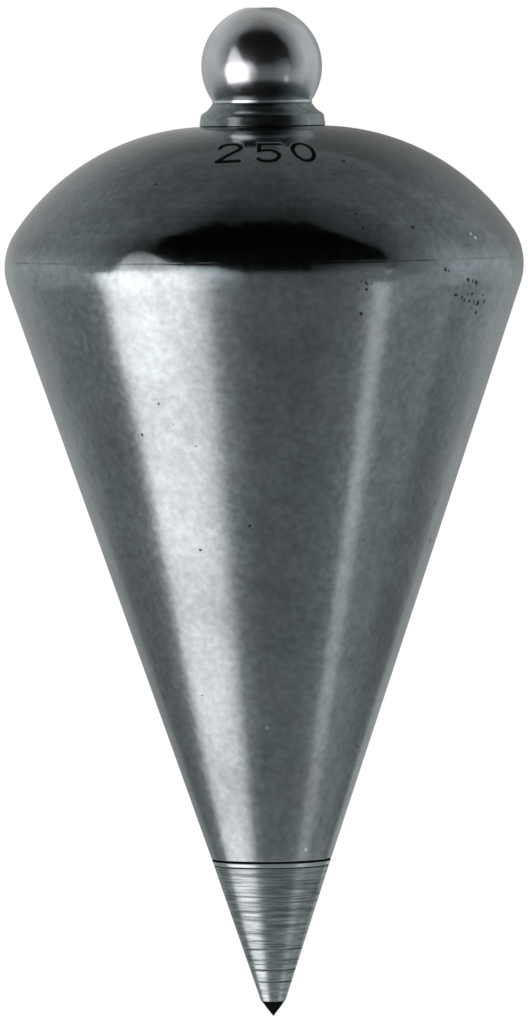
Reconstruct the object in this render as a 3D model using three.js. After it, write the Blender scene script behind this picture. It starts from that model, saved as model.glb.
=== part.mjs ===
// A steel plumb bob: a turned cone that hangs point down from a cord knotted inside its head.
// Millimetres, +Z up. The origin is the centre of the cord hole's mouth, on top of the ball.
// Every piece is turned about the Z axis, so each is one closed profile of (radius, height).

import * as THREE from 'three';

// Head: a ball on a threaded stud, bored through for the cord.
const cordHoleDiameter = 1.6;
const cordHoleEdge = 0.08;
const cordFacetWidth = 0.23;
const studDiameter = 6;
const studReach = 6.8;
const studEndChamfer = 0.4;
const studNeckDepth = 0.5;
const studNeckLength = 0.8;
const knotSeatWidth = 0.7;
const ballOverhang = 0.775;
const skirtHeight = 0.27;
const skirtEdge = 0.09;

// Collar: a loose ring on the stud, pinched between the ball and the body.
const collarTopWall = 0.66;
const collarHeight = 1.69;
const collarFlare = 0.86;
const collarFlareHeight = 0.8;
const collarTaper = 0.12;
const collarEdge = 0.12;

// Body: a crowned top, a round shoulder and a long cone.
const landWidth = 0.48;
const bodyDiameter = 39;
const shoulderDrop = 10.46;
const shoulderRadius = 4.82;
const bodyLength = 55.08;
const socketChamfer = 0.5;
const socketSpareDepth = 1;
const threadDepth = 0.5;
const knotChamberLength = 5;
const drillPointAngle = 118;

// Tip: a hardened cone on a stud of its own, replaced when it is worn.
const tipStudDiameter = 5;
const tipStudLength = 7;
const tipSocketSpareDepth = 1.2;
const seamWall = 1.905;
const seamChamfer = 0.07;
const tipLength = 10.77;
const tipEndWall = 0.14;
const gaugeLineDrop = 0.41;
const gaugeLineDepth = 0.05;

// Point: a blackened pin set in the end of the tip.
const pointShankDiameter = 1.5;
const pointShankLength = 5;
const pointShoulder = 0.055;
const pointLength = 1.14;

// Fits.
const threadClearance = 0.1;
const pinClearance = 0.03;
const pinSpareDepth = 0.3;

// Smoothness.
const segmentsRound = 60;
const arcDivisions = 7;

const cordHoleRadius = cordHoleDiameter / 2;
const facetRadius = cordHoleRadius + cordHoleEdge + cordFacetWidth;
const studRadius = studDiameter / 2;
const studBoreRadius = studRadius + threadClearance;
const collarTopRadius = studBoreRadius + collarTopWall;
const ballRadius = collarTopRadius + ballOverhang;
const ballCentreDrop = Math.sqrt(ballRadius ** 2 - facetRadius ** 2);
const ballCutDrop = ballCentreDrop + Math.sqrt(ballRadius ** 2 - collarTopRadius ** 2);
const headHeight = ballCutDrop + skirtHeight;

const socketMouthRadius = studBoreRadius + socketChamfer;
const landRadius = socketMouthRadius + landWidth;
const bodyTop = -(headHeight + collarHeight);
const tipStudRadius = tipStudDiameter / 2;
const tipSocketRadius = tipStudRadius + threadClearance;
const seamRadius = tipSocketRadius + seamWall;
const seamTop = bodyTop - bodyLength;

const pointShankRadius = pointShankDiameter / 2;
const pinBoreRadius = pointShankRadius + pinClearance;
const tipEndRadius = pinBoreRadius + tipEndWall;
const tipEnd = seamTop - tipLength;

const steel = {
  satin: { color: 0x7c8386, roughness: 0.42, metalness: 1 },
  polished: { color: 0xa9adaf, roughness: 0.16, metalness: 1 },
  dull: { color: 0x6f7678, roughness: 0.5, metalness: 1 },
  turned: { color: 0x8d9395, roughness: 0.36, metalness: 1 },
  blackened: { color: 0x24282b, roughness: 0.45, metalness: 1 },
};

// How deep a drill's point reaches past the straight wall of its hole.
function drillPointDepth(radius) {
  const halfAngle = THREE.MathUtils.degToRad(drillPointAngle / 2);
  return radius / Math.tan(halfAngle);
}

// Turns a profile about Z. It runs up the outside, so that the faces point outwards.
function turn(name, outline, finish, height) {
  const geometry = new THREE.LatheGeometry(outline.getPoints(arcDivisions), segmentsRound);
  geometry.rotateX(Math.PI / 2);
  const mesh = new THREE.Mesh(geometry, new THREE.MeshStandardMaterial(finish));
  mesh.name = name;
  mesh.position.z = height;
  return mesh;
}

// The ball is cut flat at the top for the cord facet and at the bottom for the collar.
// A plain shank carries the collar. Below it the stud has a neck where the thread runs out,
// and a cone in its end that seats the knot.
function makeHead() {
  const studEnd = bodyTop - studReach;
  const neckRadius = studRadius - studNeckDepth;
  const upperAngle = Math.acos(facetRadius / ballRadius);
  const lowerAngle = -Math.acos(collarTopRadius / ballRadius);
  const outline = new THREE.Path();
  outline.moveTo(cordHoleRadius + cordHoleEdge, 0);
  outline.lineTo(cordHoleRadius, -cordHoleEdge);
  outline.lineTo(cordHoleRadius, studEnd + knotSeatWidth);
  outline.lineTo(cordHoleRadius + knotSeatWidth, studEnd);
  outline.lineTo(studRadius - studEndChamfer, studEnd);
  outline.lineTo(studRadius, studEnd + studEndChamfer);
  outline.lineTo(studRadius, bodyTop - studNeckLength - studNeckDepth);
  outline.lineTo(neckRadius, bodyTop - studNeckLength);
  outline.lineTo(neckRadius, bodyTop - studNeckDepth);
  outline.lineTo(studRadius, bodyTop);
  outline.lineTo(studRadius, -headHeight);
  outline.lineTo(collarTopRadius - skirtEdge, -headHeight);
  outline.lineTo(collarTopRadius, -headHeight + skirtEdge);
  outline.absarc(0, -ballCentreDrop, ballRadius, lowerAngle, upperAngle, false);
  outline.lineTo(cordHoleRadius + cordHoleEdge, 0);
  return turn('head', outline, steel.polished, 0);
}

// The collar flares from the ball's skirt down to a nearly straight side.
function makeCollar() {
  const sideTopRadius = collarTopRadius + collarFlare;
  const footRadius = sideTopRadius + collarTaper;
  const outline = new THREE.Path();
  outline.moveTo(studBoreRadius, 0);
  outline.lineTo(studBoreRadius, -collarHeight);
  outline.lineTo(footRadius, -collarHeight);
  outline.lineTo(sideTopRadius, -collarFlareHeight - collarEdge);
  outline.lineTo(sideTopRadius - collarEdge, -collarFlareHeight);
  outline.lineTo(collarTopRadius, 0);
  outline.lineTo(studBoreRadius, 0);
  return turn('collar', outline, steel.dull, -headHeight);
}

// The crown leaves the flat land level, runs into the shoulder, and the shoulder into the cone.
// Each meets the next without a corner, so the crown's radius and the cone's slope are worked out.
function makeBody() {
  const socketDepth = studReach + socketSpareDepth;
  const chamberRadius = studRadius - threadDepth;
  const chamberDepth = socketDepth + knotChamberLength;
  const shoulderOut = bodyDiameter / 2 - shoulderRadius;
  const crownReach = shoulderOut - landRadius;
  const crownRadius =
    (crownReach ** 2 + shoulderDrop ** 2 - shoulderRadius ** 2) /
    (2 * (shoulderDrop - shoulderRadius));
  const crownEndAngle = Math.atan2(crownRadius - shoulderDrop, crownReach);
  const coneReach = shoulderOut - seamRadius;
  const coneRise = bodyLength - shoulderDrop;
  const coneAngle =
    Math.atan2(coneRise, coneReach) -
    Math.asin(shoulderRadius / Math.hypot(coneReach, coneRise));
  const coneStartAngle = coneAngle - Math.PI / 2;
  const tipSocketTop = tipStudLength + tipSocketSpareDepth - bodyLength;

  const outline = new THREE.Path();
  outline.moveTo(0, tipSocketTop + drillPointDepth(tipSocketRadius));
  outline.lineTo(tipSocketRadius, tipSocketTop);
  outline.lineTo(tipSocketRadius, -bodyLength);
  outline.lineTo(seamRadius - seamChamfer, -bodyLength);
  outline.lineTo(seamRadius + seamChamfer / Math.tan(coneAngle), -bodyLength + seamChamfer);
  outline.absarc(shoulderOut, -shoulderDrop, shoulderRadius, coneStartAngle, crownEndAngle, false);
  outline.absarc(landRadius, -crownRadius, crownRadius, crownEndAngle, Math.PI / 2, false);
  outline.lineTo(socketMouthRadius, 0);
  outline.lineTo(studBoreRadius, -socketChamfer);
  outline.lineTo(studBoreRadius, -socketDepth);
  outline.lineTo(chamberRadius, -socketDepth);
  outline.lineTo(chamberRadius, -chamberDepth);
  outline.lineTo(0, -chamberDepth - drillPointDepth(chamberRadius));
  return turn('bob_body', outline, steel.satin, bodyTop);
}

// The tip carries the cone on to the point, with a fine gauge line below the seam.
function makeTip() {
  const slope = (seamRadius - tipEndRadius) / tipLength;
  const coneRadius = (drop) => seamRadius - slope * drop;
  const pinBoreTop = pointShankLength + pinSpareDepth - tipLength;
  const lineTop = gaugeLineDrop - gaugeLineDepth;
  const lineFoot = gaugeLineDrop + gaugeLineDepth;
  const outline = new THREE.Path();
  outline.moveTo(0, pinBoreTop + drillPointDepth(pinBoreRadius));
  outline.lineTo(pinBoreRadius, pinBoreTop);
  outline.lineTo(pinBoreRadius, -tipLength);
  outline.lineTo(tipEndRadius, -tipLength);
  outline.lineTo(coneRadius(lineFoot), -lineFoot);
  outline.lineTo(coneRadius(gaugeLineDrop) - gaugeLineDepth, -gaugeLineDrop);
  outline.lineTo(coneRadius(lineTop), -lineTop);
  outline.lineTo(coneRadius(seamChamfer), -seamChamfer);
  outline.lineTo(seamRadius - seamChamfer, 0);
  outline.lineTo(tipStudRadius, 0);
  outline.lineTo(tipStudRadius, tipStudLength - studEndChamfer);
  outline.lineTo(tipStudRadius - studEndChamfer, tipStudLength);
  outline.lineTo(0, tipStudLength);
  return turn('tip', outline, steel.turned, seamTop);
}

// The pin's shoulder stops on the end of the tip.
function makePoint() {
  const outline = new THREE.Path();
  outline.moveTo(0, -pointLength);
  outline.lineTo(pointShankRadius + pointShoulder, 0);
  outline.lineTo(pointShankRadius, 0);
  outline.lineTo(pointShankRadius, pointShankLength);
  outline.lineTo(0, pointShankLength);
  return turn('point', outline, steel.blackened, tipEnd);
}

const plummet = new THREE.Group();
plummet.add(makeHead(), makeCollar(), makeBody(), makeTip(), makePoint());

export default plummet;
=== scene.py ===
import math

import bpy
import numpy as np
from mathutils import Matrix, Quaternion, Vector


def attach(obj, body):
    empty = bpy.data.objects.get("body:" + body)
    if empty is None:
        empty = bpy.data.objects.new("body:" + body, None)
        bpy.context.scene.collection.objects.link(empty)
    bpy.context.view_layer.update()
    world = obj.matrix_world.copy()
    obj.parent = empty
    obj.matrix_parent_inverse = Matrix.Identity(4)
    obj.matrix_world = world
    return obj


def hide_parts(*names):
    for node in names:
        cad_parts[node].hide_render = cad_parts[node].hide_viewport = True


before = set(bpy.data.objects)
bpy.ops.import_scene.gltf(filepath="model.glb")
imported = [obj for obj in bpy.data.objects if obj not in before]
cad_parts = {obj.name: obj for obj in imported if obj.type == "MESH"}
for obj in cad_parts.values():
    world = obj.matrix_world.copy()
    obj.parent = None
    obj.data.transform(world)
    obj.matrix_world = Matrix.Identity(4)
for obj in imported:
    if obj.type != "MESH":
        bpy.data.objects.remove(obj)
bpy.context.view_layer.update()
mm = 0.001
scene = bpy.context.scene
scene.view_settings.view_transform = "Standard"
print("frame:", ", ".join(sorted(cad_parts)))

# A steel plumb bob of five turned pieces, hanging point down. Lengths are in millimetres and
# angles in degrees. It hangs a shade off plumb in the picture, so the camera rolls with it.
picture = {
    "eye": (-0.24, -887, -3.6),
    "aim": (-0.24, 0, -37.9),
    "roll": -0.71,
    "lens": 415,
    "sensor": 36,
    "nearest": 10,
}


def placeObject(name, data):
    made = bpy.data.objects.new(name, data)
    scene.collection.objects.link(made)
    return made


def placeCamera():
    data = bpy.data.cameras.new("camera")
    data.lens = picture["lens"]
    data.sensor_width = picture["sensor"]
    data.clip_start = picture["nearest"] * mm
    camera = placeObject("camera", data)
    eye, aim = Vector(picture["eye"]) * mm, Vector(picture["aim"]) * mm
    turn = (aim - eye).to_track_quat("-Z", "Y")
    camera.location = eye
    camera.rotation_mode = "QUATERNION"
    camera.rotation_quaternion = turn @ Quaternion((0, 0, 1), math.radians(picture["roll"]))
    scene.camera = camera


placeCamera()
print("camera placed")


# An input may be a plain value or another node's output.
def addNode(tree, kind, inputs=None, **settings):
    made = tree.nodes.new("ShaderNode" + kind)
    for key, value in settings.items():
        setattr(made, key, value)
    for key, value in (inputs or {}).items():
        if isinstance(value, bpy.types.NodeSocket):
            tree.links.new(value, made.inputs[key])
        else:
            made.inputs[key].default_value = value
    return made


def maths(tree, operation, a, b=0.0):
    return addNode(tree, "Math", {0: a, 1: b}, operation=operation).outputs[0]


def vectorMaths(tree, operation, a, b=None):
    sockets = {0: a}
    if b is not None:
        sockets["Scale" if operation == "SCALE" else 1] = b
    result = "Value" if operation in ("DISTANCE", "LENGTH") else "Vector"
    return addNode(tree, "VectorMath", sockets, operation=operation).outputs[result]


def remap(tree, value, low, high, newLow, newHigh, smooth=False):
    sockets = {
        "Value": value, "From Min": low, "From Max": high, "To Min": newLow, "To Max": newHigh,
    }
    kind = "SMOOTHSTEP" if smooth else "LINEAR"
    return addNode(tree, "MapRange", sockets, interpolation_type=kind).outputs[0]


# The place on the piece, in metres.
def objectPlace(tree):
    return addNode(tree, "TexCoord").outputs["Object"]


def split(tree, vector):
    return addNode(tree, "SeparateXYZ", {0: vector}).outputs


# A value that the mesh carries at each of its vertices.
def attribute(tree, name):
    return addNode(tree, "Attribute", attribute_name=name).outputs["Fac"]


# Goes smoothly from 0 at one height to share at the other, both in millimetres.
def blendUp(tree, z, heights, share=1.0):
    return remap(tree, z, heights[0] * mm, heights[1] * mm, 0, share, smooth=True)


def mixColours(tree, factor, a, b, blend="MIX"):
    a, b = ((*tone, 1) if isinstance(tone, tuple) else tone for tone in (a, b))
    sockets = {0: factor, 6: a, 7: b}
    return addNode(tree, "Mix", sockets, data_type="RGBA", blend_type=blend).outputs[2]


# Lays a tone over a colour, as far as the mask and the share go.
def layOver(tree, colour, tone, mask, share):
    return mixColours(tree, maths(tree, "MULTIPLY", mask, share), colour, tone)


def newMaterial(name):
    material = bpy.data.materials.new(name)
    material.use_nodes = True
    tree = material.node_tree
    tree.nodes.clear()
    return material, tree


def newGroup(name, sockets, results):
    tree = bpy.data.node_groups.new(name, "ShaderNodeTree")
    kind = "NodeSocketFloat"
    for label, value in sockets.items():
        socket = tree.interface.new_socket(label, in_out="INPUT", socket_type=kind)
        socket.default_value = value
    for label in results:
        tree.interface.new_socket(label, in_out="OUTPUT", socket_type=kind)
    return tree, tree.nodes.new("NodeGroupInput").outputs, tree.nodes.new("NodeGroupOutput")


def placeGroup(tree, group, values):
    made = tree.nodes.new("ShaderNodeGroup")
    made.node_tree = group
    for label, value in values.items():
        made.inputs[label].default_value = value
    return made.outputs


# Bearings: 0 is the camera's side, positive to the right of the picture. Heights go up.
# Every card stands on a ball round the bob, and the nearer one hides what lies behind it.
# A card's rows run upwards: height, its left and right bearings, and how bright it is at either.
# fall dims its left and right edges.
studio = {
    "centre": (0, 0, -36),
    "cardStep": 4,         # spacing of a card's mesh
    "roomLight": 0.95,     # what lights the bob; the camera sees the room at 1
    "lamp": {"power": 6, "size": 900, "at": (-300, -300, 800), "aim": (0, 0, -400)},
    "floor": {"drop": 450, "radius": 3900, "sides": 96, "paint": (0.93, 0.93, 0.93), "rough": 0.9},
    "cards": {
        # near cards, from the height of the shoulder downwards
        "softboxLow": dict(radius=145, tint=(1.12, 1.0, 0.98), fall=(0.3, 0.6), rows=(
            (-75, -135, -52, 0.65, 0.65), (-60, -130, -50, 1.6, 1.9), (-51.5, -128, -42, 1.6, 1.85),
            (-47.5, -122, -31, 1.7, 1.75), (-42, -114, -30, 1.8, 1.75), (-37, -103, -27, 1.85, 1.8),
            (-34, -89, -26.5, 1.9, 1.8), (-30, -79, -25, 2.15, 1.95), (-22, -77, -24, 2.55, 2.5),
            (3, -75, -22, 2.55, 2.5))),
        "stripRight": dict(radius=145, tint=(1.06, 1.0, 0.97), rows=(
            (-75, 50, 100, 0.6, 0.6), (-60, 50, 100, 0.5, 0.6), (-44, 54, 86, 0.55, 0.6),
            (-38, 56, 70, 0.8, 0.75), (-28, 53, 61, 1.1, 1.1), (-15, 46, 55, 1.05, 1.05))),
        "glowLeft": dict(radius=147, rows=(
            (-75, -52, -8, 0.6, 0.6), (-60, -36, -8, 0.5, 0.3), (-40, -34, -8, 0.42, 0.18),
            (-24, -31, -8, 0.6, 0.17), (-9, -31, -8, 1.1, 0.24), (-3, -31, -8, 1.5, 0.35),
            (3, -31, -10, 1.7, 0.2), (12, -36, -20, 1.5, 0.25))),
        "frontLow": dict(radius=148, rows=(
            (-75, -40, 20, 0.6, 0.6), (-58, -36, 20, 0.3, 0.3), (-46, -34, 20, 0.26, 0.26),
            (-38, -30, 20, 0.165, 0.165), (-3, -28, 20, 0.155, 0.155), (3, -31, 20, 0.015, 0.05))),
        "frontLowRight": dict(radius=148, rows=(
            (-75, 20, 60, 0.6, 0.6), (-58, 20, 56, 0.3, 0.4), (-36, 20, 54, 0.17, 0.27),
            (-3, 20, 52, 0.15, 0.28), (3, 20, 52, 0.05, 0.3), (10, 20, 54, 0.01, 0.18),
            (17, 24, 56, 0.0, 0.06))),
        "fadeLow": dict(radius=149, rows=(
            (-75, 50, 98, 0.6, 0.6), (-60, 52, 96, 0.4, 0.5), (-40, 51, 96, 0.5, 0.4),
            (-30, 50, 96, 0.36, 0.26), (-10, 50, 96, 0.26, 0.6), (3, 56, 98, 0.13, 0.7))),
        "backLowLeft": dict(radius=149, rows=(
            (-75, -180, -138, 0.6, 0.6), (-55, -180, -138, 0.25, 0.4),
            (-30, -180, -138, 0.25, 0.35), (3, -180, -138, 0.35, 0.56))),
        "backLowRight": dict(radius=149, rows=(
            (-75, 138, 180, 0.6, 0.6), (-55, 138, 180, 0.5, 0.3),
            (-24, 138, 180, 0.55, 0.4), (3, 138, 180, 0.46, 0.25))),
        "roomLow": dict(radius=150, rows=(
            (-75, -180, 180, 0.6, 0.6), (-57, -180, 180, 0.5, 0.5), (-38, -180, 180, 0.45, 0.45),
            (-29, -180, 180, 0.23, 0.23), (-21, -180, 180, 0.21, 0.21), (-8, -180, 180, 0.52, 0.52),
            (3, -180, 180, 0.6, 0.6))),
        # far cards, from there upwards
        "softboxHigh": dict(radius=590, tint=(1.08, 1.0, 0.98), rows=(
            (-14, -75, -28, 2.6, 2.6), (-1, -71, -30, 2.5, 2.5), (1, -68, -33, 1.3, 1.3),
            (14, -66, -43, 1.05, 1.0), (22, -65, -49, 0.9, 0.85), (30, -63, -58, 0.4, 0.4))),
        "frontHigh": dict(radius=592, rows=(
            (-14, -34, 50, 0.16, 0.28), (-8, -34, 50, 0.13, 0.2), (-2, -34, 50, 0.0, 0.1))),
        # the black flag in front of the camera gives the crown its dark patch
        "flag": dict(radius=595, rows=(
            (-4, -54, 57, 0, 0), (32, -55, 56, 0, 0), (40, -56, 53, 0, 0), (46, -59, 51, 0, 0),
            (52, -63, 51, 0, 0), (60, -61, 51, 0, 0), (63, -57, 49, 0, 0), (67, -50, 45, 0, 0),
            (70, -46, 40, 0, 0), (71, -46, 40, 0.07, 0.07), (77, -46, 40, 0.08, 0.08),
            (84, -46, 40, 0.13, 0.13))),
        "flagTop": dict(radius=594, rows=((66, -34, 34, 0, 0), (73.5, -18, 22, 0, 0))),
        "fadeLeft": dict(radius=597, rows=(
            (-14, -98, -52, 0.6, 0.05), (0, -98, -52, 0.6, 0.03), (30, -98, -54, 0.56, 0.02),
            (56, -92, -49, 0.33, 0.02), (70, -90, -45, 0.27, 0.06), (84, -90, -45, 0.17, 0.13))),
        "fadeRight": dict(radius=597, rows=(
            (-14, 54, 96, 0.25, 0.58), (-3, 56, 98, 0.1, 0.66), (24, 52, 100, 0.02, 0.74),
            (55, 43, 92, 0.05, 0.26), (70, 39, 90, 0.07, 0.21), (84, 39, 90, 0.13, 0.15))),
        "backLeft": dict(radius=598, rows=(
            (-14, -180, -138, 0.35, 0.56), (8, -180, -138, 0.4, 0.62),
            (28, -180, -138, 0.42, 0.64), (50, -180, -138, 0.26, 0.34))),
        "backRight": dict(radius=598, rows=(
            (-14, 138, 180, 0.42, 0.25), (8, 138, 180, 0.5, 0.22),
            (28, 138, 180, 0.52, 0.2), (50, 138, 180, 0.28, 0.22))),
        "room": dict(radius=600, rows=(
            (-14, -180, 180, 0.54, 0.54), (8, -180, 180, 0.67, 0.67),
            (33, -180, 180, 0.58, 0.58), (57, -180, 180, 0.32, 0.32),
            (75, -180, 180, 0.24, 0.24), (89.9, -180, 180, 0.14, 0.14))),
    },
}


def cardMaterial(name, tint):
    material, tree = newMaterial(name)
    level = attribute(tree, "level")
    glow = addNode(tree, "Emission", {"Color": (*tint, 1), "Strength": level})
    addNode(tree, "OutputMaterial", {"Surface": glow.outputs[0]})
    return material


# A piece of a ball, seen only in the steel's reflections.
def standCard(name, radius, rows, tint=(1, 1, 1), fall=(0, 0)):
    rows, step = np.array(rows, float), studio["cardStep"]
    heights = [
        np.linspace(low, high, max(2, round((high - low) / step)), endpoint=False)
        for low, high in zip(rows[:-1, 0], rows[1:, 0])
    ]
    heights = np.concatenate(heights + [rows[-1:, 0]])
    left, right, leftLevel, rightLevel = (
        np.interp(heights, rows[:, 0], rows[:, k]) for k in range(1, 5))
    across = max(3, round((rows[:, 2] - rows[:, 1]).max() / step))
    share = np.linspace(0, 1, across + 1)
    bearing = np.radians(left[:, None] + (right - left)[:, None] * share)
    height = np.radians(heights)[:, None] + 0 * bearing
    level = leftLevel[:, None] + (rightLevel - leftLevel)[:, None] * share
    leftEdge = np.maximum(0, 1 - 2 * share) ** 3
    rightEdge = np.maximum(0, 2 * share - 1) ** 3
    level = level * (1 - fall[0] * leftEdge - fall[1] * rightEdge)
    spots = radius * np.stack([
        np.sin(bearing) * np.cos(height), -np.cos(bearing) * np.cos(height), np.sin(height)], -1)
    spots = (spots + np.array(studio["centre"])).reshape(-1, 3) * mm
    wide = across + 1
    faces = [
        (i * wide + j, i * wide + j + 1, (i + 1) * wide + j + 1, (i + 1) * wide + j)
        for i in range(len(heights) - 1) for j in range(across)
    ]
    mesh = bpy.data.meshes.new(name)
    mesh.from_pydata(spots.tolist(), [], faces)
    levels = mesh.attributes.new("level", "FLOAT", "POINT").data
    levels.foreach_set("value", level.reshape(-1).astype(np.float32))
    mesh.materials.append(cardMaterial(name, tint))
    card = placeObject(name, mesh)
    card.visible_camera = False
    card.visible_diffuse = False
    card.visible_transmission = False
    card.visible_shadow = False


def lightWorld():
    world = bpy.data.worlds.new("room")
    scene.world = world
    world.use_nodes = True
    tree = world.node_tree
    tree.nodes.clear()
    path = addNode(tree, "LightPath").outputs
    seen = maths(tree, "MAXIMUM", path["Is Camera Ray"], path["Is Glossy Ray"])
    seen = maths(tree, "MAXIMUM", seen, path["Is Transmission Ray"])
    level = remap(tree, seen, 0, 1, studio["roomLight"], 1)
    light = addNode(tree, "Background", {"Color": (1, 1, 1, 1), "Strength": level})
    addNode(tree, "OutputWorld", {"Surface": light.outputs[0]})


def evenTurns(count):
    return np.arange(count) * 2 * math.pi / count


# The floor lies far under the hanging bob and can be seen through from below.
def layFloor():
    given = studio["floor"]
    count, radius = given["sides"], given["radius"] * mm
    z = (studio["centre"][2] - given["drop"]) * mm
    rim = [(radius * math.sin(t), radius * math.cos(t), z) for t in evenTurns(count)]
    faces = [(0, (i + 1) % count + 1, i + 1) for i in range(count)]
    mesh = bpy.data.meshes.new("floor")
    mesh.from_pydata([(0, 0, z)] + rim, [], faces)
    material, tree = newMaterial("floorPaint")
    sockets = {"Base Color": (*given["paint"], 1), "Roughness": given["rough"]}
    paint = addNode(tree, "BsdfPrincipled", sockets)
    clear = addNode(tree, "BsdfTransparent")
    under = addNode(tree, "NewGeometry").outputs["Backfacing"]
    both = addNode(tree, "MixShader", {0: under, 1: paint.outputs[0], 2: clear.outputs[0]})
    addNode(tree, "OutputMaterial", {"Surface": both.outputs[0]})
    mesh.materials.append(material)
    floor = placeObject("floor", mesh)


def hangLamp():
    given = studio["lamp"]
    data = bpy.data.lights.new("lampAbove", "AREA")
    data.shape = "DISK"
    data.size = given["size"] * mm
    data.energy = given["power"]
    lamp = placeObject("lampAbove", data)
    lamp.location = Vector(given["at"]) * mm
    aim = Vector(given["aim"]) * mm
    lamp.rotation_euler = (aim - lamp.location).to_track_quat("-Z", "Y").to_euler()
    lamp.visible_glossy = False


for cardName, card in studio["cards"].items():
    standCard(cardName, **card)
lightWorld()
layFloor()
hangLamp()
print("studio:", len(studio["cards"]), "cards")


# Every piece is turned. A profile is a list of (radius, height) up the outside of the piece.
lathe = {
    "filletSteps": 4,      # faces round a fillet
    "filletShare": 0.48,   # how much of an edge a fillet may take
    "guard": 1.4,          # how far the close rows beside a fillet stand off, against its reach
    "sharpAngle": 30,
    "threadFlat": 0.11,    # half the crest, as a share of the pitch
    "threadFlank": 0.32,
}


# Corners are (radius, height, fillet). Each fillet gets a close row on either side.
def rounded(corners):
    steps, guard = lathe["filletSteps"], lathe["guard"]
    spots = []
    for i, (r, z, fillet) in enumerate(corners):
        here = np.array((r, z), float)
        if not fillet or i in (0, len(corners) - 1):
            spots.append(here)
            continue
        back, ahead = np.array(corners[i - 1][:2]) - here, np.array(corners[i + 1][:2]) - here
        backLength, aheadLength = np.linalg.norm(back), np.linalg.norm(ahead)
        back, ahead = back / backLength, ahead / aheadLength
        half = math.acos(np.clip(back @ ahead, -1, 1)) / 2
        share = lathe["filletShare"]
        cut = min(fillet / math.tan(half), backLength * share, aheadLength * share)
        centre = here + (back + ahead) / np.linalg.norm(back + ahead) * cut / math.cos(half)
        start, end = here + back * cut - centre, here + ahead * cut - centre
        sweep = math.pi - 2 * half
        side = np.sign(start[0] * end[1] - start[1] * end[0])
        spots.append(here + back * min(cut * guard, backLength / 2))
        for k in range(steps + 1):
            t = side * sweep * k / steps
            spots.append(centre + np.array((
                start[0] * math.cos(t) - start[1] * math.sin(t),
                start[0] * math.sin(t) + start[1] * math.cos(t))))
        spots.append(here + ahead * min(cut * guard, aheadLength / 2))
    return spots


def arc(r, z, radius, start, end, step):
    count = max(3, math.ceil(abs(end - start) * radius / step))
    turns = np.linspace(start, end, count + 1)
    return [(r + radius * math.cos(t), z + radius * math.sin(t), 0) for t in turns]


# Adds rows where two stand further apart than step.
def filled(spots, step):
    line = [np.array(spots[0], float)]
    for spot in spots[1:]:
        last = line[-1]
        gap = np.array(spot, float) - last
        count = max(1, math.ceil(np.linalg.norm(gap) / step - 1e-6))
        line.extend(last + gap * k / count for k in range(1, count + 1))
    return line


# Turns the profile about Z. shape(r, z, turns) may move the surface and say where it is cut into,
# which the finishes darken as painted shade. A ring has a bore, and other profiles start and end on
# the axis.
def turn(name, line, turns, ring=False, shape=None):
    line = np.array(line, float)
    r = np.repeat(line[:, :1], len(turns), 1)
    z = np.repeat(line[:, 1:], len(turns), 1)
    cut = np.zeros_like(r)
    if shape:
        r, z, cut = shape(r, z, turns)
    spots = np.stack([r * np.sin(turns), -r * np.cos(turns), z], -1)
    rows, columns = r.shape
    low, high = (0, rows) if ring else (1, rows - 1)
    points = spots[low:high].reshape(-1, 3)
    marks = cut[low:high].reshape(-1)
    count = high - low
    bands = np.arange(count if ring else count - 1)
    i, j = np.meshgrid(bands, np.arange(columns), indexing="ij")
    up, on = (i + 1) % count, (j + 1) % columns
    quads = [i * columns + j, i * columns + on, up * columns + on, up * columns + j]
    faces = np.stack(quads, -1).reshape(-1, 4).tolist()
    if not ring:
        foot, top = len(points), len(points) + 1
        last = (count - 1) * columns
        points = np.vstack([points, spots[0, :1], spots[-1, :1]])
        marks = np.append(marks, (0, 0))
        faces += [(foot, (k + 1) % columns, k) for k in range(columns)]
        faces += [(top, last + k, last + (k + 1) % columns) for k in range(columns)]
    mesh = bpy.data.meshes.new(name)
    mesh.from_pydata((points * mm).tolist(), [], faces)
    cuts = mesh.attributes.new("cut", "FLOAT", "POINT").data
    cuts.foreach_set("value", marks.astype(np.float32))
    mesh.polygons.foreach_set("use_smooth", np.ones(len(mesh.polygons), bool))
    mesh.set_sharp_from_angle(angle=math.radians(lathe["sharpAngle"]))
    mesh.validate()
    return placeObject(name, mesh)


# Puts a finished piece in the place of its node.
def fit(piece, node, body, material):
    piece.data.materials.append(material)
    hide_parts(node)
    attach(piece, body)
    print(piece.name + ":", len(piece.data.polygons), "faces")


def step01(low, high, value):
    t = np.clip((value - low) / (high - low), 0, 1)
    return t * t * (3 - 2 * t)


# How deep a right-hand 60 degree thread is cut, from 0 on its crest to 1 at its root.
def threadCut(z, turns, pitch):
    away = np.abs((z / pitch - turns / (2 * math.pi)) % 1 - 0.5)
    return 1 - np.clip((away - lathe["threadFlat"]) / lathe["threadFlank"], 0, 1)


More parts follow.
